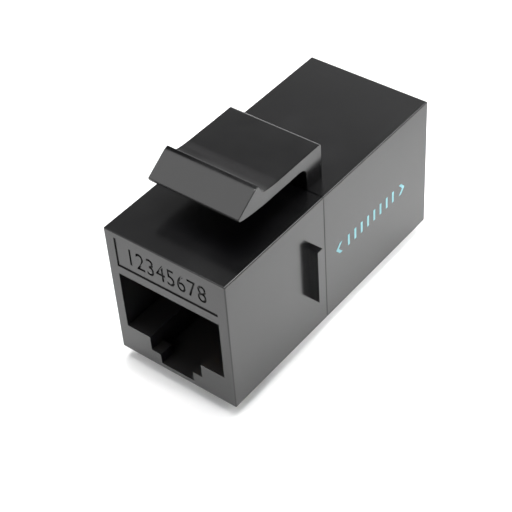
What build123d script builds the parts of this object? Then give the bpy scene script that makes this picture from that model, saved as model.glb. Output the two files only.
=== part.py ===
from build123d import *
import os

# Feed-through coupler that joins two eight-contact modular plugs end to end, in millimetres.
# The origin lies under the middle of the body, at the height of the fixed lug's foot.
# +X is the right side as seen from the front port, +Y points to the rear port, +Z to the latch.

# Body, split across its length into a front and a rear housing
body_width = 14.3
body_length = 32.4
body_height = 15.6
lug_height = 1.4
seam_from_front = 14.66
side_wall = 1.13
top_wall = 1.2
base_wall = 1.0
face_wall = 1.5
outer_radius = 0.12
seam_chamfer = 0.08

# Plug opening, measured down from the top of the body
opening_top = 5.16
shoulder_drop = 12.12
wide_keyway_drop = 13.83
narrow_keyway_drop = 15.0
wide_keyway_half = 3.16
narrow_keyway_half = 2.01
catch_ledge_depth = 1.6
shoulder_web = 0.8
ceiling_rail_width = 0.82
ceiling_rail_height = 0.6

# Label recess in the front face
recess_half_width = 6.0
recess_top = 0.67
recess_bottom = 4.21
recess_depth = 0.12

# Fixed lug under the body, which hooks behind the lower edge of a panel opening
lug_half_width = 5.2
lug_catch_from_front = 8.2
lug_foot_length = 0.7
lug_root_length = 2.0

# Side ears that stop the body in the panel
ear_from_front = 12.1
ear_thickness = 0.77
ear_reach = 1.06
ear_top = 4.49
ear_bottom = 10.97

# Sprung latch on the rear housing, distances from the front face and heights above the body
latch_half_width = 5.28
latch_foot_back = 17.05
latch_arm_top = 4.0
latch_arm_back = 10.6
latch_valley_back = 8.28
latch_valley_top = 4.25
latch_ridge_back = 7.74
latch_ridge_top = 5.29
latch_ramp_back = 7.1
latch_ramp_top = 5.06
latch_tip_back = 4.7
latch_tip_top = 3.48
latch_lip_back = 4.78
latch_lip_top = 3.16
latch_throat_back = 7.0
latch_throat_top = 2.81
latch_under_back = 8.9
latch_under_top = 2.7
latch_valley_direction = (1, -0.22)
latch_lip_direction = (-0.96, 0.28)
latch_root_radius = 0.9
latch_heel_radius = 0.35
latch_ridge_radius = 0.08
latch_valley_radius = 0.5
latch_tip_radius = 0.1
latch_edge_chamfer = 0.05

# Spigot of the front housing in the rabbet of the rear one, with a snap ridge above and below
spigot_thickness = 0.5
spigot_length = 1.0
spigot_root = 1.5
spigot_lead_in = 0.15
rabbet_gap = 0.05
rabbet_end_gap = 0.1
snap_radius = 0.18
snap_length = 8.0

# Circuit board across the middle
board_thickness = 1.6
board_gap = 0.1
board_corner = 0.6
hole_radius = 0.33

# Contact springs, flat wire
contact_count = 8
contact_pitch = 1.016
wire_width = 0.45
wire_thickness = 0.3
wire_run_height = 13.83
wire_front = 14.3
wire_turn_bottom = 12.35
wire_tip_height = 9.35
wire_tip_reach = 4.1
leg_reach = 1.5
upper_row_height = 14.9
lower_row_height = 12.4
tail_proud = 0.4
nose_radius = 0.6
return_radius = 0.5
leg_radius = 0.4

# Contact carrier, the insert that holds the springs
carrier_gap = 0.1
carrier_seat = 3.4
carrier_plate = 1.2
tongue_reach = 13.65
tongue_underside = 12.0
tongue_relief_height = 0.65
tongue_relief_length = 1.25
groove_gap = 0.01
crossbar_length = 3.0
crossbar_height = 0.9
crossbar_half_width = 4.9
comb_length = 1.8
comb_bottom = 9.05
comb_tooth = 0.44
standoff_width = 1.2
standoff_top = 11.2
standoff_foot = 1.0

# Planes of the body in the part's own frame
half_width = body_width / 2
half_length = body_length / 2
base = lug_height
top = base + body_height
seam = seam_from_front - half_length
port_half = half_width - side_wall
chamber_top = top - top_wall
pocket_floor = base + base_wall
opening_ceiling = top - opening_top
shoulder = top - shoulder_drop
wide_keyway = top - wide_keyway_drop
narrow_keyway = top - narrow_keyway_drop
rail_top = opening_ceiling + ceiling_rail_height
tongue_top = wire_run_height + wire_thickness / 2
groove_floor = wire_run_height - wire_thickness / 2
insert_half = port_half - carrier_gap


def block(x_range, y_range, z_range):
    """A plain block between the given limits."""
    spans = [x_range, y_range, z_range]
    middle = [sum(span) / 2 for span in spans]
    size = [span[1] - span[0] for span in spans]
    return Pos(*middle) * Box(*size)


def extrude_along_y(points, y_start, y_end):
    """A closed outline in X and Z, drawn out from one Y to the other."""
    outline = make_face(Plane.XZ.offset(-y_start) * Polyline(*points, close=True))
    return extrude(outline, amount=y_end - y_start, dir=(0, 1, 0))


def extrude_along_x(outline, half):
    """A sketch in Y and Z, drawn out to both sides of the middle."""
    return extrude(Plane.YZ * outline, amount=half, both=True)


def edges_at(shape, axis, places):
    """The edges that lie wholly at one of the places along the axis."""
    found = ShapeList()
    for place in places:
        found += shape.edges().filter_by_position(axis, place - 1e-3, place + 1e-3)
    return found


def contact_x(number):
    """Where a contact sits across the port, numbered from the left as seen from the front."""
    return (number - (contact_count + 1) / 2) * contact_pitch


def plug_cavity():
    """Everything that is hollow at the front end, up to the middle of the board."""
    face = -half_length
    behind_face = face + face_wall
    behind_ledge = face + catch_ledge_depth
    seat = -carrier_seat
    rail_half = port_half - ceiling_rail_width
    mouth_outline = [
        (-port_half, opening_ceiling),
        (port_half, opening_ceiling),
        (port_half, shoulder),
        (wide_keyway_half, shoulder),
        (wide_keyway_half, wide_keyway),
        (narrow_keyway_half, wide_keyway),
        (narrow_keyway_half, narrow_keyway),
        (-narrow_keyway_half, narrow_keyway),
        (-narrow_keyway_half, wide_keyway),
        (-wide_keyway_half, wide_keyway),
        (-wide_keyway_half, shoulder),
        (-port_half, shoulder),
    ]
    cavity = extrude_along_y(mouth_outline, face, seat)
    # Behind the two catch ledges the plug's tab springs down into the full width
    cavity += block((-wide_keyway_half, wide_keyway_half), (behind_ledge, seat), (narrow_keyway, wide_keyway))
    # Room for the carrier's tongue above the rails, and the slot between the rails
    cavity += block((-port_half, port_half), (behind_face, 0), (rail_top, chamber_top))
    cavity += block((-rail_half, rail_half), (behind_face, seat), (opening_ceiling, rail_top))
    # Pocket for the carrier's plate and the board
    cavity += block((-port_half, port_half), (seat, 0), (pocket_floor, chamber_top))
    # The shoulders are cored from behind, so that every wall is about as thick
    core_inner = wide_keyway_half + shoulder_web
    for core_x in [(core_inner, port_half), (-port_half, -core_inner)]:
        cavity += block(core_x, (behind_face, seat), (pocket_floor, shoulder - shoulder_web))
    return cavity


def body_end(y_range, end_y, seam_y):
    """One half of the outer body, with its edges rounded and its seam edge broken."""
    half = block((-half_width, half_width), y_range, (base, top))
    long_edges = half.edges().filter_by(Axis.Y)
    half = fillet(long_edges + edges_at(half, Axis.Y, [end_y]), outer_radius)
    return chamfer(edges_at(half, Axis.Y, [seam_y]), seam_chamfer)


def spigot():
    """The thin collar that enters the rear housing, hollow like the pocket."""
    outer = port_half + spigot_thickness
    low = pocket_floor - spigot_thickness
    high = chamber_top + spigot_thickness
    root_to_end = (seam - spigot_root, seam + spigot_length)
    collar = block((-outer, outer), root_to_end, (low, high))
    collar = chamfer(edges_at(collar, Axis.Y, [seam + spigot_length]), spigot_lead_in)
    collar += snap_bars(snap_radius, snap_length)
    return collar - block((-port_half, port_half), root_to_end, (pocket_floor, chamber_top))


def snap_bars(radius, length):
    """Round bars across the top and bottom faces of the spigot, which form its ridges and their grooves."""
    bar = Rot(0, 90, 0) * Cylinder(radius, length)
    middle = seam + spigot_length / 2
    low = pocket_floor - spigot_thickness
    high = chamber_top + spigot_thickness
    return Pos(0, middle, low) * bar + Pos(0, middle, high) * bar


def panel_lug():
    """A wedge under the front housing: a slope to the front and a steep catch to the rear."""
    catch = lug_catch_from_front - half_length
    outline = Polyline(
        (catch - lug_root_length, base),
        (catch - lug_foot_length, 0),
        (catch, 0),
        (catch, base + base_wall / 2),
        (catch - lug_root_length, base + base_wall / 2),
        close=True,
    )
    return extrude_along_x(make_face(outline), lug_half_width)


def ears():
    """The two upright stops on the sides."""
    start = ear_from_front - half_length
    reach = half_width + ear_reach
    inside = half_width - side_wall / 2
    pair = Part()
    for side_x in [(inside, reach), (-reach, -inside)]:
        pair += block(side_x, (start, start + ear_thickness), (top - ear_bottom, top - ear_top))
    return pair


def front_housing():
    shell = body_end((-half_length, seam), -half_length, seam)
    shell += spigot() + ears()
    shell -= plug_cavity()
    shell += panel_lug()
    recess = block(
        (-recess_half_width, recess_half_width),
        (-half_length, -half_length + recess_depth),
        (top - recess_bottom, top - recess_top),
    )
    return shell - recess


def latch():
    """The sprung arm, one moulding with the rear housing, as a side outline drawn out across."""

    def at(back, above):
        return (back - half_length, top + above)

    foot_front = seam_from_front
    foot_top = at(latch_foot_back, latch_arm_top)
    root = at(foot_front, latch_under_top)
    under = at(latch_under_back, latch_under_top)
    throat = at(latch_throat_back, latch_throat_top)
    lip = at(latch_lip_back, latch_lip_top)
    tip = at(latch_tip_back, latch_tip_top)
    ramp = at(latch_ramp_back, latch_ramp_top)
    ridge = at(latch_ridge_back, latch_ridge_top)
    valley = at(latch_valley_back, latch_valley_top)
    arm_start = at(latch_arm_back, latch_arm_top)
    ramp_direction = (ramp[0] - tip[0], ramp[1] - tip[1])
    sole = -top_wall / 2
    with BuildSketch() as outline:
        with BuildLine():
            # Straight ramp that rounds over to the ridge, its steep back, and the hollow behind it
            Line(tip, ramp)
            TangentArc(ramp, ridge, tangent=ramp_direction)
            Line(ridge, valley)
            Spline(valley, arm_start, tangents=[latch_valley_direction, (1, 0)])
            Polyline(arm_start, foot_top, at(latch_foot_back, sole), at(foot_front, sole), root, under)
            Spline(under, throat, lip, tangents=[(-1, 0), latch_lip_direction])
            Line(lip, tip)
        make_face()
        for corner, radius in [
            (foot_top, latch_heel_radius),
            (root, latch_root_radius),
            (ridge, latch_ridge_radius),
            (valley, latch_valley_radius),
            (tip, latch_tip_radius),
            (lip, latch_tip_radius),
        ]:
            fillet(nearest(outline.vertices(), corner), radius)
    arm = extrude_along_x(outline.sketch, latch_half_width)
    side_edges = edges_at(arm, Axis.X, [-latch_half_width, latch_half_width])
    return chamfer(side_edges, latch_edge_chamfer)


def nearest(vertices, point):
    """The sketch corner closest to a point."""
    target = Vector(*point)
    return min(vertices, key=lambda vertex: (Vector(vertex.X, vertex.Y) - target).length)


def rear_housing():
    shell = body_end((seam, half_length), half_length, seam)
    shell += latch()
    shell -= mirror(plug_cavity(), Plane.XZ)
    outer = port_half + spigot_thickness + rabbet_gap
    low = pocket_floor - spigot_thickness - rabbet_gap
    high = chamber_top + spigot_thickness + rabbet_gap
    shell -= block((-port_half, port_half), (seam, 0), (pocket_floor, chamber_top))
    shell -= block((-outer, outer), (seam, seam + spigot_length + rabbet_end_gap), (low, high))
    return shell - snap_bars(snap_radius + rabbet_gap, snap_length + 2 * rabbet_gap)


def circuit_board():
    """The board that carries each contact straight through, drilled in two staggered rows a side."""
    half = board_thickness / 2
    edge = port_half - board_gap
    board = block((-edge, edge), (-half, half), (pocket_floor + board_gap, chamber_top - board_gap))
    board = chamfer(board.edges().filter_by(Axis.Y), board_corner)
    drill = Rot(90, 0, 0) * Cylinder(hole_radius, board_thickness * 2)
    for number in range(1, contact_count + 1):
        for height in (upper_row_height, lower_row_height):
            board -= Pos(contact_x(number), 0, height) * drill
    return board


def contact_carrier():
    """The front insert: a plate behind the plug, a grooved tongue over it and a comb for the tips."""
    plate_back = -carrier_seat + carrier_plate
    board_face = -board_thickness / 2
    rail_half = port_half - ceiling_rail_width - carrier_gap
    low = pocket_floor + carrier_gap
    carrier = block((-insert_half, insert_half), (-carrier_seat, plate_back), (low, tongue_top))
    # Tongue, with a T section that rides on the rails of the housing
    carrier += block((-insert_half, insert_half), (-tongue_reach, -carrier_seat), (rail_top, tongue_top))
    carrier += block((-rail_half, rail_half), (-tongue_reach, -carrier_seat), (tongue_underside, rail_top))
    # Slanted relief under the nose, where the springs turn back
    relief = Polyline(
        (-tongue_reach, tongue_underside),
        (-tongue_reach, tongue_underside + tongue_relief_height),
        (tongue_relief_length - tongue_reach, tongue_underside),
        close=True,
    )
    carrier -= extrude_along_x(make_face(relief), rail_half)
    # Comb that keeps the spring tips apart
    for gap in range(contact_count + 1):
        middle = contact_x(gap + 0.5)
        tooth_x = (middle - comb_tooth / 2, middle + comb_tooth / 2)
        carrier += block(tooth_x, (-carrier_seat - comb_length, -carrier_seat), (comb_bottom, tongue_underside))
    # Bar moulded over the springs, and the grooves they lie in
    bar_y = (-carrier_seat - crossbar_length, -carrier_seat)
    carrier += block((-crossbar_half_width, crossbar_half_width), bar_y, (tongue_top, tongue_top + crossbar_height))
    groove_half = wire_width / 2 + groove_gap
    for number in range(1, contact_count + 1):
        middle = contact_x(number)
        groove_x = (middle - groove_half, middle + groove_half)
        carrier -= block(groove_x, (-tongue_reach, plate_back), (groove_floor, tongue_top))
    # Standoffs that hold the board clear of the spring legs
    for side_x in [(insert_half - standoff_width, insert_half), (-insert_half, standoff_width - insert_half)]:
        carrier += block(side_x, (plate_back, board_face), (low, standoff_top))
    carrier += block((-insert_half, insert_half), (plate_back, board_face), (low, low + standoff_foot))
    return carrier


def contact_spring(row_height):
    """One spring at the middle of the port, from its tip in the comb to its tail in the board."""
    path_line = FilletPolyline(
        (-wire_tip_reach, wire_tip_height),
        (-wire_front, wire_turn_bottom),
        (-wire_front, wire_run_height),
        (-leg_reach, wire_run_height),
        (-leg_reach, row_height),
        (board_thickness / 2 + tail_proud, row_height),
        radius=[return_radius, nose_radius, leg_radius, leg_radius],
    )
    path = Plane.YZ * path_line
    section_plane = Plane(origin=path @ 0, x_dir=(1, 0, 0), z_dir=path % 0)
    return sweep(section_plane * Rectangle(wire_width, wire_thickness), path=path)


def contacts():
    """The sixteen springs: odd numbers end in the upper row of holes, even ones in the lower."""
    odd = contact_spring(upper_row_height)
    even = contact_spring(lower_row_height)
    springs = {}
    for number in range(1, contact_count + 1):
        spring = odd if number % 2 else even
        springs[f"front_contact_{number}"] = Pos(contact_x(number), 0, 0) * spring
        springs[f"rear_contact_{number}"] = Pos(-contact_x(number), 0, 0) * mirror(spring, Plane.XZ)
    return springs


parts = {
    "front_housing": front_housing(),
    "rear_housing": rear_housing(),
    "circuit_board": circuit_board(),
    "front_contact_carrier": contact_carrier(),
    "rear_contact_carrier": mirror(contact_carrier(), Plane.XZ),
    **contacts(),
}

os.makedirs("parts", exist_ok=True)
for node, shape in parts.items():
    export_step(shape, f"parts/{node}.step")
    print(node, round(shape.volume, 2))
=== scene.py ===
import math

import bpy
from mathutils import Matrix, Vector


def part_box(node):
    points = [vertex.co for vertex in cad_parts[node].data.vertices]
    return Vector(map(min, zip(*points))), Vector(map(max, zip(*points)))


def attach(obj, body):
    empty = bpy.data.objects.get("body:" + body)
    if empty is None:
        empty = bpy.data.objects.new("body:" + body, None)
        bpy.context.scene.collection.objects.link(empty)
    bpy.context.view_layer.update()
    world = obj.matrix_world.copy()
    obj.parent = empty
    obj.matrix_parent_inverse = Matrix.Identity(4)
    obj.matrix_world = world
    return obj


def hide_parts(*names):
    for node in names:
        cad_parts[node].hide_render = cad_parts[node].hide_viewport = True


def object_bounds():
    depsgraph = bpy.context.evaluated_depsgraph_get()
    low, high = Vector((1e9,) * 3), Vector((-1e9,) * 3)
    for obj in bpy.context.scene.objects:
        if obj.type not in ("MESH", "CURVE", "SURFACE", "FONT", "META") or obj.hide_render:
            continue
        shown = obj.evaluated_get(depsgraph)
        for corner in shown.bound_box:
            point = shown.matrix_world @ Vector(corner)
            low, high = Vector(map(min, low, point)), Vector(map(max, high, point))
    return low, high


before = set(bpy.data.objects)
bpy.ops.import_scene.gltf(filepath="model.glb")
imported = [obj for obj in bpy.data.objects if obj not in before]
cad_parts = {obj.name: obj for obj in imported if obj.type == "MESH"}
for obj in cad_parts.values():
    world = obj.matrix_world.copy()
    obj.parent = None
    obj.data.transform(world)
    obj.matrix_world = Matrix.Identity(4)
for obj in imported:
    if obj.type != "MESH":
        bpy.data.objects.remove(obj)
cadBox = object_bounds()
print("frame loaded with", len(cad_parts), "nodes")

mm = 0.001  # the scene is in metres, the sizes below are in millimetres


def linearColour(hexText):
    # an sRGB hex value as the linear colour that the shaders take
    channels = [int(hexText[start:start + 2], 16) / 255 for start in (1, 3, 5)]
    linear = [c / 12.92 if c <= 0.04045 else ((c + 0.055) / 1.055) ** 2.4 for c in channels]
    return (*linear, 1.0)


def addNode(tree, kind, settings=None, links=None):
    # a node with its settings, and its inputs joined to other nodes' outputs
    # (a Mix node's inputs go by number: 0 is the share, 2 and 3 are numbers, 6 and 7 colours)
    node = tree.nodes.new(kind)
    for name, value in (settings or {}).items():
        if isinstance(name, int) or name in node.inputs:
            node.inputs[name].default_value = value
        else:
            setattr(node, name, value)
    for name, output in (links or {}).items():
        tree.links.new(output, node.inputs[name])
    return node


def newMaterial(name):
    # an empty material, its tree and the place on the piece that its patterns read
    material = bpy.data.materials.new(name)
    material.use_nodes = True
    tree = material.node_tree
    tree.nodes.clear()
    place = addNode(tree, "ShaderNodeTexCoord")
    return material, tree, place.outputs["Object"]


def perMm(size):
    # the scale of a noise whose grains are this many millimetres across
    return 1 / (size * mm)


# Housings: black ABS, injection moulded in a finely spark-eroded tool.
# It is near black all through, so what the eye sees is its satin gloss.
# The core that forms the port is rougher, so inside it the plastic is matt. Its colour there is
# also painted a shade lighter: painted light that lets the ports' inside walls show.
housingLook = {
    "dark": "#040405",
    "light": "#070708",
    # painted light: a lighter grey for the ports' inside, standing in for light falling into them
    "corePaintedLight": "#171718",
    "ior": 1.55,
    "glossLow": 0.15,
    "glossHigh": 0.24,
    "coreGloss": 0.34,
    "grain": 0.12,       # spark-eroded grain, a real one is finer and would not show
    "grainDetail": 2.0,
    "grainDepth": 0.0006,
    "grainBump": 0.5,
    "flow": 5.0,         # slow change of gloss where the melt ran
    "flowDetail": 3.0,
    "grainShare": 0.4,   # how much the grain adds to that change
    "blendLow": 0.4,     # the sum of the two at the lowest and the highest gloss
    "blendHigh": 1.0,
    "coreHalf": 6.04,    # limits of the ports' inside: across, up and along
    "coreLow": 1.9,
    "coreHigh": 11.9,
    "coreEnd": 16.15,
}


def insidePort(tree, place):
    # 1 on the walls of the two ports and 0 on the outside, from the place in the object; it makes
    # them matt and paints them lighter (painted light)
    look = housingLook
    axes = addNode(tree, "ShaderNodeSeparateXYZ", links={0: place})
    across = addNode(tree, "ShaderNodeMath", {"operation": "ABSOLUTE"}, {0: axes.outputs["X"]})
    along = addNode(tree, "ShaderNodeMath", {"operation": "ABSOLUTE"}, {0: axes.outputs["Y"]})
    tests = [
        ("LESS_THAN", look["coreHalf"], across.outputs["Value"]),
        ("LESS_THAN", look["coreEnd"], along.outputs["Value"]),
        ("GREATER_THAN", look["coreLow"], axes.outputs["Z"]),
        ("LESS_THAN", look["coreHigh"], axes.outputs["Z"]),
    ]
    inside = None
    for operation, limit, value in tests:
        test = addNode(tree, "ShaderNodeMath", {"operation": operation, 1: limit * mm}, {0: value})
        if inside:
            test = addNode(tree, "ShaderNodeMath", {"operation": "MULTIPLY"},
                           {0: inside, 1: test.outputs["Value"]})
        inside = test.outputs["Value"]
    return inside


def mouldedAbsSatin():
    look = housingLook
    material, tree, place = newMaterial("blackMouldedAbsSatin")
    inside = insidePort(tree, place)
    grain = addNode(tree, "ShaderNodeTexNoise",
                    {"Scale": perMm(look["grain"]), "Detail": look["grainDetail"]},
                    {"Vector": place})
    flow = addNode(tree, "ShaderNodeTexNoise",
                   {"Scale": perMm(look["flow"]), "Detail": look["flowDetail"]},
                   {"Vector": place})
    blend = addNode(tree, "ShaderNodeMath", {"operation": "MULTIPLY_ADD", 1: look["grainShare"]},
                    {0: grain.outputs["Fac"], 2: flow.outputs["Fac"]})
    gloss = addNode(tree, "ShaderNodeMapRange",
                    {"From Min": look["blendLow"], "From Max": look["blendHigh"],
                     "To Min": look["glossLow"], "To Max": look["glossHigh"]},
                    {"Value": blend.outputs["Value"]})
    roughness = addNode(tree, "ShaderNodeMix", {"data_type": "FLOAT", 3: look["coreGloss"]},
                        {0: inside, 2: gloss.outputs["Result"]})
    melt = addNode(tree, "ShaderNodeMix",
                   {"data_type": "RGBA", 6: linearColour(look["dark"]),
                    7: linearColour(look["light"])},
                   {0: flow.outputs["Fac"]})
    # painted light: inside the ports the black is swapped for a lighter grey so that their walls
    # show
    colour = addNode(tree, "ShaderNodeMix",
                     {"data_type": "RGBA", 7: linearColour(look["corePaintedLight"])},
                     {0: inside, 6: melt.outputs[2]})
    bump = addNode(tree, "ShaderNodeBump",
                   {"Strength": look["grainBump"], "Distance": look["grainDepth"] * mm},
                   {"Height": grain.outputs["Fac"]})
    shader = addNode(tree, "ShaderNodeBsdfPrincipled", {"IOR": look["ior"]},
                     {"Base Color": colour.outputs[2], "Roughness": roughness.outputs[0],
                      "Normal": bump.outputs["Normal"]})
    addNode(tree, "ShaderNodeOutputMaterial", links={"Surface": shader.outputs["BSDF"]})
    return material


# Contact carriers: black glass-filled polyester, moulded matt, with the short fibres just showing.
carrierLook = {
    "dark": "#0D0D0E",
    "fibre": "#242426",
    "ior": 1.55,
    "glossLow": 0.42,
    "glossHigh": 0.58,
    "fibreWidth": 0.09,
    "fibreDetail": 3.0,
    "fibreStretch": 0.2,    # the pattern's scale along the fibres
    "fibreFrom": 0.55,      # where a fibre starts to show in the pattern, and where it shows fully
    "fibreFull": 0.75,
    "fibreDepth": 0.002,
    "fibreBump": 0.5,
}


def mouldedPolyesterMatt():
    look = carrierLook
    material, tree, place = newMaterial("blackGlassFilledPolyesterMatt")
    # fibres lie along the melt's way, front to back, so the pattern is stretched along Y
    along = addNode(tree, "ShaderNodeMapping", {"Scale": (1.0, look["fibreStretch"], 1.0)},
                    {"Vector": place})
    fibres = addNode(tree, "ShaderNodeTexNoise",
                     {"Scale": perMm(look["fibreWidth"]), "Detail": look["fibreDetail"]},
                     {"Vector": along.outputs["Vector"]})
    showing = addNode(tree, "ShaderNodeMapRange",
                      {"From Min": look["fibreFrom"], "From Max": look["fibreFull"]},
                      {"Value": fibres.outputs["Fac"]})
    colour = addNode(tree, "ShaderNodeMix",
                     {"data_type": "RGBA", 6: linearColour(look["dark"]),
                      7: linearColour(look["fibre"])},
                     {0: showing.outputs["Result"]})
    gloss = addNode(tree, "ShaderNodeMapRange",
                    {"To Min": look["glossHigh"], "To Max": look["glossLow"]},
                    {"Value": fibres.outputs["Fac"]})
    bump = addNode(tree, "ShaderNodeBump",
                   {"Strength": look["fibreBump"], "Distance": look["fibreDepth"] * mm},
                   {"Height": fibres.outputs["Fac"]})
    shader = addNode(tree, "ShaderNodeBsdfPrincipled", {"IOR": look["ior"]},
                     {"Base Color": colour.outputs[2], "Roughness": gloss.outputs["Result"],
                      "Normal": bump.outputs["Normal"]})
    addNode(tree, "ShaderNodeOutputMaterial", links={"Surface": shader.outputs["BSDF"]})
    return material


# Circuit board: woven glass-epoxy laminate under a green solder mask.
# The mask is glossy and lets the weave show.
boardLook = {
    "mask": "#0C4A22",
    "weaveShade": "#0A3B1B",
    "ior": 1.5,
    "gloss": 0.28,
    "yarnPitch": 0.5,
    "yarnWander": 0.4,
    "yarnDepth": 0.006,
    "yarnBump": 0.4,
}


def solderMaskOnLaminate():
    look = boardLook
    material, tree, place = newMaterial("greenSolderMaskOnGlassEpoxy")
    # the board stands in X and Z, so one set of yarns runs across X and the other across Z;
    # a wave pattern of scale 1 has about pi bands in one unit
    yarns = []
    for axis in ("X", "Z"):
        yarn = addNode(tree, "ShaderNodeTexWave",
                       {"bands_direction": axis, "Scale": perMm(look["yarnPitch"]) / math.pi,
                        "Distortion": look["yarnWander"]},
                       {"Vector": place})
        yarns.append(yarn.outputs["Fac"])
    weave = addNode(tree, "ShaderNodeMath", {"operation": "MULTIPLY"}, {0: yarns[0], 1: yarns[1]})
    colour = addNode(tree, "ShaderNodeMix",
                     {"data_type": "RGBA", 6: linearColour(look["weaveShade"]),
                      7: linearColour(look["mask"])},
                     {0: weave.outputs["Value"]})
    bump = addNode(tree, "ShaderNodeBump",
                   {"Strength": look["yarnBump"], "Distance": look["yarnDepth"] * mm},
                   {"Height": weave.outputs["Value"]})
    shader = addNode(tree, "ShaderNodeBsdfPrincipled",
                     {"IOR": look["ior"], "Roughness": look["gloss"]},
                     {"Base Color": colour.outputs[2], "Normal": bump.outputs["Normal"]})
    addNode(tree, "ShaderNodeOutputMaterial", links={"Surface": shader.outputs["BSDF"]})
    return material


# Contact springs: phosphor bronze strip, gold plated, with fine drawing marks along the wire.
goldLook = {
    "gold": "#F0C060",
    "thin": "#E2AB52",
    "glossLow": 0.3,
    "glossHigh": 0.4,
    "markWidth": 0.06,
    "markDetail": 2.0,
    "markStretch": 0.05,    # the pattern's scale along the wire
    "markDepth": 0.0002,
    "markBump": 0.3,
}


def goldPlatedBronze():
    look = goldLook
    material, tree, place = newMaterial("goldPlatedPhosphorBronze")
    # the wire runs in Y and Z, so marks along it change mostly across X
    across = addNode(tree, "ShaderNodeMapping",
                     {"Scale": (1.0, look["markStretch"], look["markStretch"])},
                     {"Vector": place})
    marks = addNode(tree, "ShaderNodeTexNoise",
                    {"Scale": perMm(look["markWidth"]), "Detail": look["markDetail"]},
                    {"Vector": across.outputs["Vector"]})
    colour = addNode(tree, "ShaderNodeMix",
                     {"data_type": "RGBA", 6: linearColour(look["thin"]),
                      7: linearColour(look["gold"])},
                     {0: marks.outputs["Fac"]})
    gloss = addNode(tree, "ShaderNodeMapRange",
                    {"To Min": look["glossLow"], "To Max": look["glossHigh"]},
                    {"Value": marks.outputs["Fac"]})
    bump = addNode(tree, "ShaderNodeBump",
                   {"Strength": look["markBump"], "Distance": look["markDepth"] * mm},
                   {"Height": marks.outputs["Fac"]})
    shader = addNode(tree, "ShaderNodeBsdfPrincipled", {"Metallic": 1.0},
                     {"Base Color": colour.outputs[2], "Roughness": gloss.outputs["Result"],
                      "Normal": bump.outputs["Normal"]})
    addNode(tree, "ShaderNodeOutputMaterial", links={"Surface": shader.outputs["BSDF"]})
    return material


# Printed mark: light turquoise pad-printing ink.
# It is thin and slightly matt, with the pull of the pad in it.
inkLook = {
    "full": "#70A4AB",
    "lean": "#64989F",
    "ior": 1.48,
    "gloss": 0.42,
    "pull": 0.2,
    "pullDetail": 3.0,
    "pullDepth": 0.002,
    "pullBump": 0.4,
}


def padPrintedInk():
    look = inkLook
    material, tree, place = newMaterial("turquoisePadPrintedInk")
    pull = addNode(tree, "ShaderNodeTexNoise",
                   {"Scale": perMm(look["pull"]), "Detail": look["pullDetail"]},
                   {"Vector": place})
    colour = addNode(tree, "ShaderNodeMix",
                     {"data_type": "RGBA", 6: linearColour(look["lean"]),
                      7: linearColour(look["full"])},
                     {0: pull.outputs["Fac"]})
    bump = addNode(tree, "ShaderNodeBump",
                   {"Strength": look["pullBump"], "Distance": look["pullDepth"] * mm},
                   {"Height": pull.outputs["Fac"]})
    shader = addNode(tree, "ShaderNodeBsdfPrincipled",
                     {"IOR": look["ior"], "Roughness": look["gloss"]},
                     {"Base Color": colour.outputs[2], "Normal": bump.outputs["Normal"]})
    addNode(tree, "ShaderNodeOutputMaterial", links={"Surface": shader.outputs["BSDF"]})
    return material


def giveMaterial(piece, material):
    piece.data.materials.clear()
    piece.data.materials.append(material)


def deselectAll():
    bpy.ops.object.select_all(action="DESELECT")


def makeActive(piece):
    deselectAll()
    piece.select_set(True)
    bpy.context.view_layer.objects.active = piece


def freezePlace(piece):
    # moves the piece's place into its mesh, so that its object sits at the origin
    makeActive(piece)
    bpy.ops.object.transform_apply(location=True, rotation=True, scale=True)


def applyModifier(piece, kind, settings):
    makeActive(piece)
    bpy.ops.object.modifier_add(type=kind)
    modifier = piece.modifiers[-1]
    for name, value in settings.items():
        setattr(modifier, name, value)
    bpy.ops.object.modifier_apply(modifier=modifier.name)


absSatin = mouldedAbsSatin()
polyesterMatt = mouldedPolyesterMatt()
boardMask = solderMaskOnLaminate()
goldPlate = goldPlatedBronze()
printInk = padPrintedInk()

for name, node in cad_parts.items():
    if "housing" in name:
        giveMaterial(node, absSatin)
    elif "carrier" in name:
        giveMaterial(node, polyesterMatt)
    elif "board" in name:
        giveMaterial(node, boardMask)
    else:
        giveMaterial(node, goldPlate)
print("materials given to the solids")


# Front housing with the contact numbers engraved in its label recess
engraving = {
    "digits": "12345678",
    "height": 2.9,        # size of the type
    "widthShare": 0.8,    # and how much of its normal width it has
    "spread": 1.05,       # space between digits, 1 is the type's own
    "depth": 0.2,
    "recessDepth": 0.12,
    "recessMiddle": 14.5,
    "draft": 0.05,        # how far the sloped walls narrow each side of a stroke at its bottom
    "curveSteps": 5,
    "overlap": 0.1,       # how far the cutter stands out of the surface
    "weld": 0.001,        # points nearer than this are one point
    "placeDecimals": 3,   # faces whose middles agree to this many decimals lie back to back
    "smoothAngle": 35,
}


def mergePoints(piece):
    # leaves the piece in edit mode, with all of it selected
    makeActive(piece)
    bpy.ops.object.mode_set(mode="EDIT")
    bpy.ops.mesh.select_all(action="SELECT")
    bpy.ops.mesh.remove_doubles(threshold=engraving["weld"] * mm)


def dropDoubledFaces(piece):
    # the cutter crosses itself in a sharp corner of a digit and leaves pairs of faces back to back
    makeActive(piece)
    bpy.ops.object.mode_set(mode="EDIT")
    bpy.ops.mesh.select_mode(type="FACE")
    bpy.ops.mesh.select_all(action="DESELECT")
    bpy.ops.object.mode_set(mode="OBJECT")
    places = {}
    for face in piece.data.polygons:
        place = tuple(round(length / mm, engraving["placeDecimals"]) for length in face.center)
        places.setdefault(place, []).append(face)
    for faces in places.values():
        for face in faces:
            face.select = len(faces) == 2
    bpy.ops.object.mode_set(mode="EDIT")
    bpy.ops.mesh.delete(type="FACE")
    bpy.ops.object.mode_set(mode="OBJECT")


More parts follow.
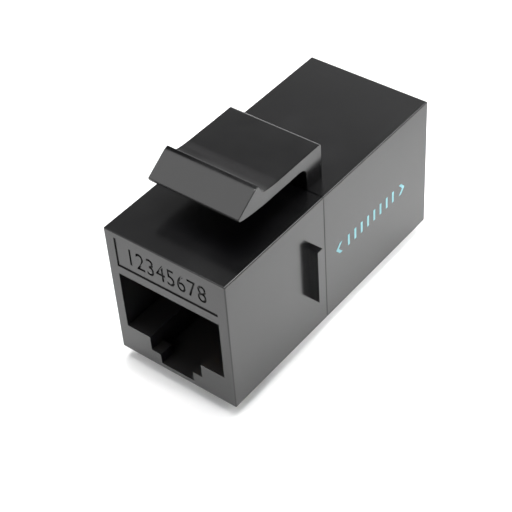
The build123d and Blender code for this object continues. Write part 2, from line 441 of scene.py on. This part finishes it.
def digitCutter():
    # the digits as a solid, sunk in the recess's floor and standing a little out of it
    shape = engraving
    deselectAll()
    bpy.ops.object.text_add()
    letters = bpy.context.object.data
    letters.body = shape["digits"]
    letters.size = shape["height"]
    letters.space_character = shape["spread"]
    letters.align_x = "CENTER"
    letters.align_y = "CENTER"
    letters.resolution_u = shape["curveSteps"]
    letters.offset = -shape["draft"]
    letters.extrude = (shape["depth"] + shape["overlap"]) / 2 - shape["draft"]
    letters.bevel_depth = shape["draft"]
    letters.bevel_resolution = 0
    bpy.ops.object.convert(target="MESH")
    cutter = bpy.context.object
    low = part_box("front_housing")[0]
    middle = low.y + (shape["recessDepth"] + (shape["depth"] - shape["overlap"]) / 2) * mm
    cutter.location = (0, middle, shape["recessMiddle"] * mm)
    cutter.rotation_euler = (math.pi / 2, 0, 0)
    cutter.scale = (shape["widthShare"] * mm, mm, mm)
    freezePlace(cutter)
    mergePoints(cutter)
    bpy.ops.mesh.normals_make_consistent(inside=False)
    bpy.ops.object.mode_set(mode="OBJECT")
    return cutter


def engravedHousing():
    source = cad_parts["front_housing"]
    housing = bpy.data.objects.new("engraved_front_housing", source.data.copy())
    bpy.context.scene.collection.objects.link(housing)
    mergePoints(housing)
    bpy.ops.mesh.customdata_custom_splitnormals_clear()
    bpy.ops.object.mode_set(mode="OBJECT")
    cutter = digitCutter()
    applyModifier(housing, "BOOLEAN", {
        "operation": "DIFFERENCE", "solver": "EXACT", "use_self": True, "object": cutter,
    })
    makeActive(cutter)
    bpy.ops.object.delete()
    dropDoubledFaces(housing)
    bpy.ops.object.shade_smooth_by_angle(angle=math.radians(engraving["smoothAngle"]))
    applyModifier(housing, "WEIGHTED_NORMAL", {"keep_sharp": True})
    giveMaterial(housing, absSatin)
    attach(housing, "root")
    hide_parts("front_housing")


engravedHousing()
print("contact numbers engraved")


# Mark printed on the right wall of the rear housing: eight bars between two chevrons
mark = {
    "middleY": 6.2,
    "middleZ": 8.9,
    "height": 1.35,
    "barWidth": 0.32,
    "barPitch": 1.1,
    "barCount": 8,
    "chevronWidth": 0.42,
    "chevronNose": 0.6,
    "chevronGap": 1.3,    # from the last bar's middle to the chevron's
    "film": 0.012,        # how thick the ink is
    "sink": 0.004,        # how much of that lies in the wall
    "rowReach": 0.01,     # points this near the middle height are the nose's
    "flatAngle": 0.01,    # faces that turn less than this many radians are one face
}


def inkPatch(name, alongY, width, nose=0.0):
    # a flat patch on the wall, drawn out to the film's thickness; a nose pushes its middle along Y
    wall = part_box("rear_housing")[1].x
    middleY = (mark["middleY"] + alongY) * mm
    middleZ = mark["middleZ"] * mm
    bpy.ops.mesh.primitive_plane_add(size=1, location=(0, 0, 0))
    patch = bpy.context.object
    patch.name = name
    patch.scale = (mark["height"] * mm, width * mm, 1)
    patch.rotation_euler = (0, math.pi / 2, 0)
    patch.location = (wall - mark["sink"] * mm, middleY, middleZ)
    freezePlace(patch)
    bpy.ops.object.mode_set(mode="EDIT")
    bpy.ops.mesh.select_mode(type="VERT")
    bpy.ops.mesh.select_all(action="SELECT")
    if nose:
        bpy.ops.mesh.subdivide(number_cuts=1)
        bpy.ops.mesh.select_all(action="DESELECT")
        bpy.ops.object.mode_set(mode="OBJECT")
        for vertex in patch.data.vertices:
            vertex.select = abs(vertex.co.z - middleZ) < mark["rowReach"] * mm
        bpy.ops.object.mode_set(mode="EDIT")
        bpy.ops.transform.translate(value=(0, nose * mm, 0))
        bpy.ops.mesh.select_all(action="SELECT")
        bpy.ops.mesh.dissolve_limited(angle_limit=mark["flatAngle"])
    film = {"value": (mark["film"] * mm, 0, 0)}
    bpy.ops.mesh.extrude_region_move(TRANSFORM_OT_translate=film)
    bpy.ops.mesh.select_all(action="SELECT")
    bpy.ops.mesh.normals_make_consistent(inside=False)
    bpy.ops.object.mode_set(mode="OBJECT")
    return patch


def printedMark():
    half = (mark["barCount"] - 1) / 2
    patches = []
    for number in range(mark["barCount"]):
        patches.append(inkPatch("bar", (number - half) * mark["barPitch"], mark["barWidth"]))
    for side in (-1, 1):
        place = side * (half * mark["barPitch"] + mark["chevronGap"])
        nose = side * mark["chevronNose"]
        patches.append(inkPatch("chevron", place, mark["chevronWidth"], nose))
    deselectAll()
    for patch in patches:
        patch.select_set(True)
    bpy.context.view_layer.objects.active = patches[0]
    bpy.ops.object.join()
    printed = bpy.context.object
    printed.name = "printed_mark"
    giveMaterial(printed, printInk)
    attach(printed, "root")


printedMark()
print("mark printed on the rear housing")


# Floor: studio backdrop paper, uncoated, so it is matt and white with a faint tooth.
paper = {
    "side": 3000,
    "white": "#F1F1F1",
    "gloss": 0.9,
    "specular": 0.1,
    "tooth": 0.5,
    "toothDepth": 0.02,
    "toothBump": 0.1,
}


def backdropPaperMatt():
    material, tree, place = newMaterial("whiteBackdropPaperMatt")
    tooth = addNode(tree, "ShaderNodeTexNoise", {"Scale": perMm(paper["tooth"])},
                    {"Vector": place})
    bump = addNode(tree, "ShaderNodeBump",
                   {"Strength": paper["toothBump"], "Distance": paper["toothDepth"] * mm},
                   {"Height": tooth.outputs["Fac"]})
    shader = addNode(tree, "ShaderNodeBsdfPrincipled",
                     {"Base Color": linearColour(paper["white"]), "Roughness": paper["gloss"],
                      "Specular IOR Level": paper["specular"]},
                     {"Normal": bump.outputs["Normal"]})
    addNode(tree, "ShaderNodeOutputMaterial", links={"Surface": shader.outputs["BSDF"]})
    return material


def paperFloor():
    deselectAll()
    bpy.ops.mesh.primitive_plane_add(size=paper["side"] * mm, location=(0, 0, cadBox[0].z))
    floor = bpy.context.object
    floor.name = "paper_floor"
    freezePlace(floor)
    giveMaterial(floor, backdropPaperMatt())


# Room: dim, a little lighter all round near the horizon, and much lighter on one side,
# behind the object's left. The camera sees a plain pale backdrop instead.
roomLight = {
    "dim": 0.06,
    "horizon": 0.7,
    "horizonUpTo": 0.3,
    "side": (-0.65, 0.76, 0.0),
    "sideFrom": 0.0,
    "sideTo": 0.6,
    "most": 2.6,
    "tilt": (-0.45, 0.0, 1.0),    # heights on the light side are measured along this
    "shares": [                   # a height there, and its share of the most light
        (0.0, 0.5), (0.45, 0.9), (0.58, 1.0), (0.61, 0.8), (0.64, 0.3), (0.67, 0.12),
        (0.74, 0.12), (0.775, 0.42), (0.805, 0.28), (0.84, 0.10), (0.92, 0.13), (1.0, 0.0),
    ],
    "backdrop": 0.9,
}


def room():
    light = roomLight
    world = bpy.data.worlds.new("studioRoom")
    bpy.context.scene.world = world
    world.use_nodes = True
    tree = world.node_tree
    tree.nodes.clear()
    direction = addNode(tree, "ShaderNodeTexCoord").outputs["Generated"]
    height = addNode(tree, "ShaderNodeVectorMath",
                     {"operation": "DOT_PRODUCT", 1: light["tilt"]}, {0: direction})
    low = addNode(tree, "ShaderNodeValToRGB", links={0: height.outputs["Value"]})
    stops = low.color_ramp.elements
    stops.remove(stops[1])
    for number, (place, share) in enumerate(light["shares"]):
        stop = stops.new(place) if number else stops[0]
        stop.position = place
        stop.color = (share, share, share, 1.0)
    towards = addNode(tree, "ShaderNodeVectorMath",
                      {"operation": "DOT_PRODUCT", 1: light["side"]}, {0: direction})
    beside = addNode(tree, "ShaderNodeMapRange",
                     {"interpolation_type": "SMOOTHSTEP", "From Min": light["sideFrom"],
                      "From Max": light["sideTo"], "To Min": 0.0, "To Max": light["most"]},
                     {"Value": towards.outputs["Value"]})
    up = addNode(tree, "ShaderNodeSeparateXYZ", links={0: direction})
    horizon = addNode(tree, "ShaderNodeMapRange",
                      {"interpolation_type": "SMOOTHSTEP", "From Min": 0.0,
                       "From Max": light["horizonUpTo"], "To Min": light["horizon"],
                       "To Max": light["dim"]},
                      {"Value": up.outputs["Z"]})
    level = addNode(tree, "ShaderNodeMath", {"operation": "MULTIPLY_ADD"},
                    {0: low.outputs["Color"], 1: beside.outputs["Result"],
                     2: horizon.outputs["Result"]})
    seen = addNode(tree, "ShaderNodeBackground", links={"Strength": level.outputs["Value"]})
    pale = addNode(tree, "ShaderNodeBackground", {"Strength": light["backdrop"]})
    path = addNode(tree, "ShaderNodeLightPath")
    shown = addNode(tree, "ShaderNodeMixShader",
                    links={0: path.outputs["Is Camera Ray"], 1: seen.outputs[0],
                           2: pale.outputs[0]})
    addNode(tree, "ShaderNodeOutputWorld", links={"Surface": shown.outputs[0]})


# Softboxes: square panels that face the object. One that doesn't light is only mirrored in it.
panels = {
    "keySoftbox": {
        "side": 400, "away": 620, "direction": (-0.04, 0.14, 1.0), "radiance": 12.0,
        "lights": True,
    },
    "rearRim": {
        "side": 250, "away": 600, "direction": (0.1, 0.56, 0.83), "radiance": 10.0,
        "lights": False,
    },
    "frontPanel": {
        "side": 330, "away": 500, "direction": (-0.49, -0.44, 0.76), "radiance": 2.2,
        "lights": True,
    },
}

# Snoots: narrow lamps on the paper, beside the object's rear end and in front of its port
snoots = {
    "rearSnoot": {
        "aim": (4.5, 13, 0), "away": 300, "direction": (0.75, 0.05, 0.66), "cone": 7.8,
        "power": 12.5, "bulb": 25,
    },
    "frontSnoot": {
        "aim": (-6, -28, 0), "away": 300, "direction": (-0.05, -0.80, 0.60), "cone": 10.0,
        "power": 2.2, "bulb": 25,
    },
}


def standLamp(name, data, aim, shape):
    # puts a lamp in its direction and distance from the place that it faces
    lamp = bpy.data.objects.new(name, data)
    bpy.context.scene.collection.objects.link(lamp)
    towards = Vector(shape["direction"]).normalized()
    lamp.location = aim + towards * shape["away"] * mm
    lamp.rotation_euler = towards.to_track_quat("Z", "Y").to_euler()
    return lamp


def softbox(name, shape):
    # its radiance stays as given whatever its size
    data = bpy.data.lights.new(name, "AREA")
    data.shape = "SQUARE"
    data.size = shape["side"] * mm
    data.energy = shape["radiance"] * math.pi * data.size ** 2
    lamp = standLamp(name, data, (cadBox[0] + cadBox[1]) / 2, shape)
    lamp.visible_camera = False
    lamp.visible_diffuse = shape["lights"]


def snootedLamp(name, shape):
    data = bpy.data.lights.new(name, "SPOT")
    data.energy = shape["power"]
    data.spot_size = math.radians(shape["cone"])
    data.spot_blend = 1.0    # fades all the way from the middle of its cone
    data.shadow_soft_size = shape["bulb"] * mm
    standLamp(name, data, Vector(shape["aim"]) * mm, shape)


paperFloor()
room()
for name, shape in panels.items():
    softbox(name, shape)
for name, shape in snoots.items():
    snootedLamp(name, shape)
bpy.context.scene.view_settings.view_transform = "Standard"
print("studio lit")


# Camera: a long lens above the front right corner
view = {
    "place": (67.352, -81.342, 101.831),
    "turn": (47.3894, 3.2884, 37.816),
    "lens": 99.545,
    "sensor": 36.0,
    "nearest": 1,
}


def addCamera():
    data = bpy.data.cameras.new("camera")
    data.lens = view["lens"]
    data.sensor_width = view["sensor"]
    data.clip_start = view["nearest"] * mm
    camera = bpy.data.objects.new("camera", data)
    bpy.context.scene.collection.objects.link(camera)
    camera.location = Vector(view["place"]) * mm
    camera.rotation_euler = [math.radians(angle) for angle in view["turn"]]
    bpy.context.scene.camera = camera


addCamera()
print("camera placed")
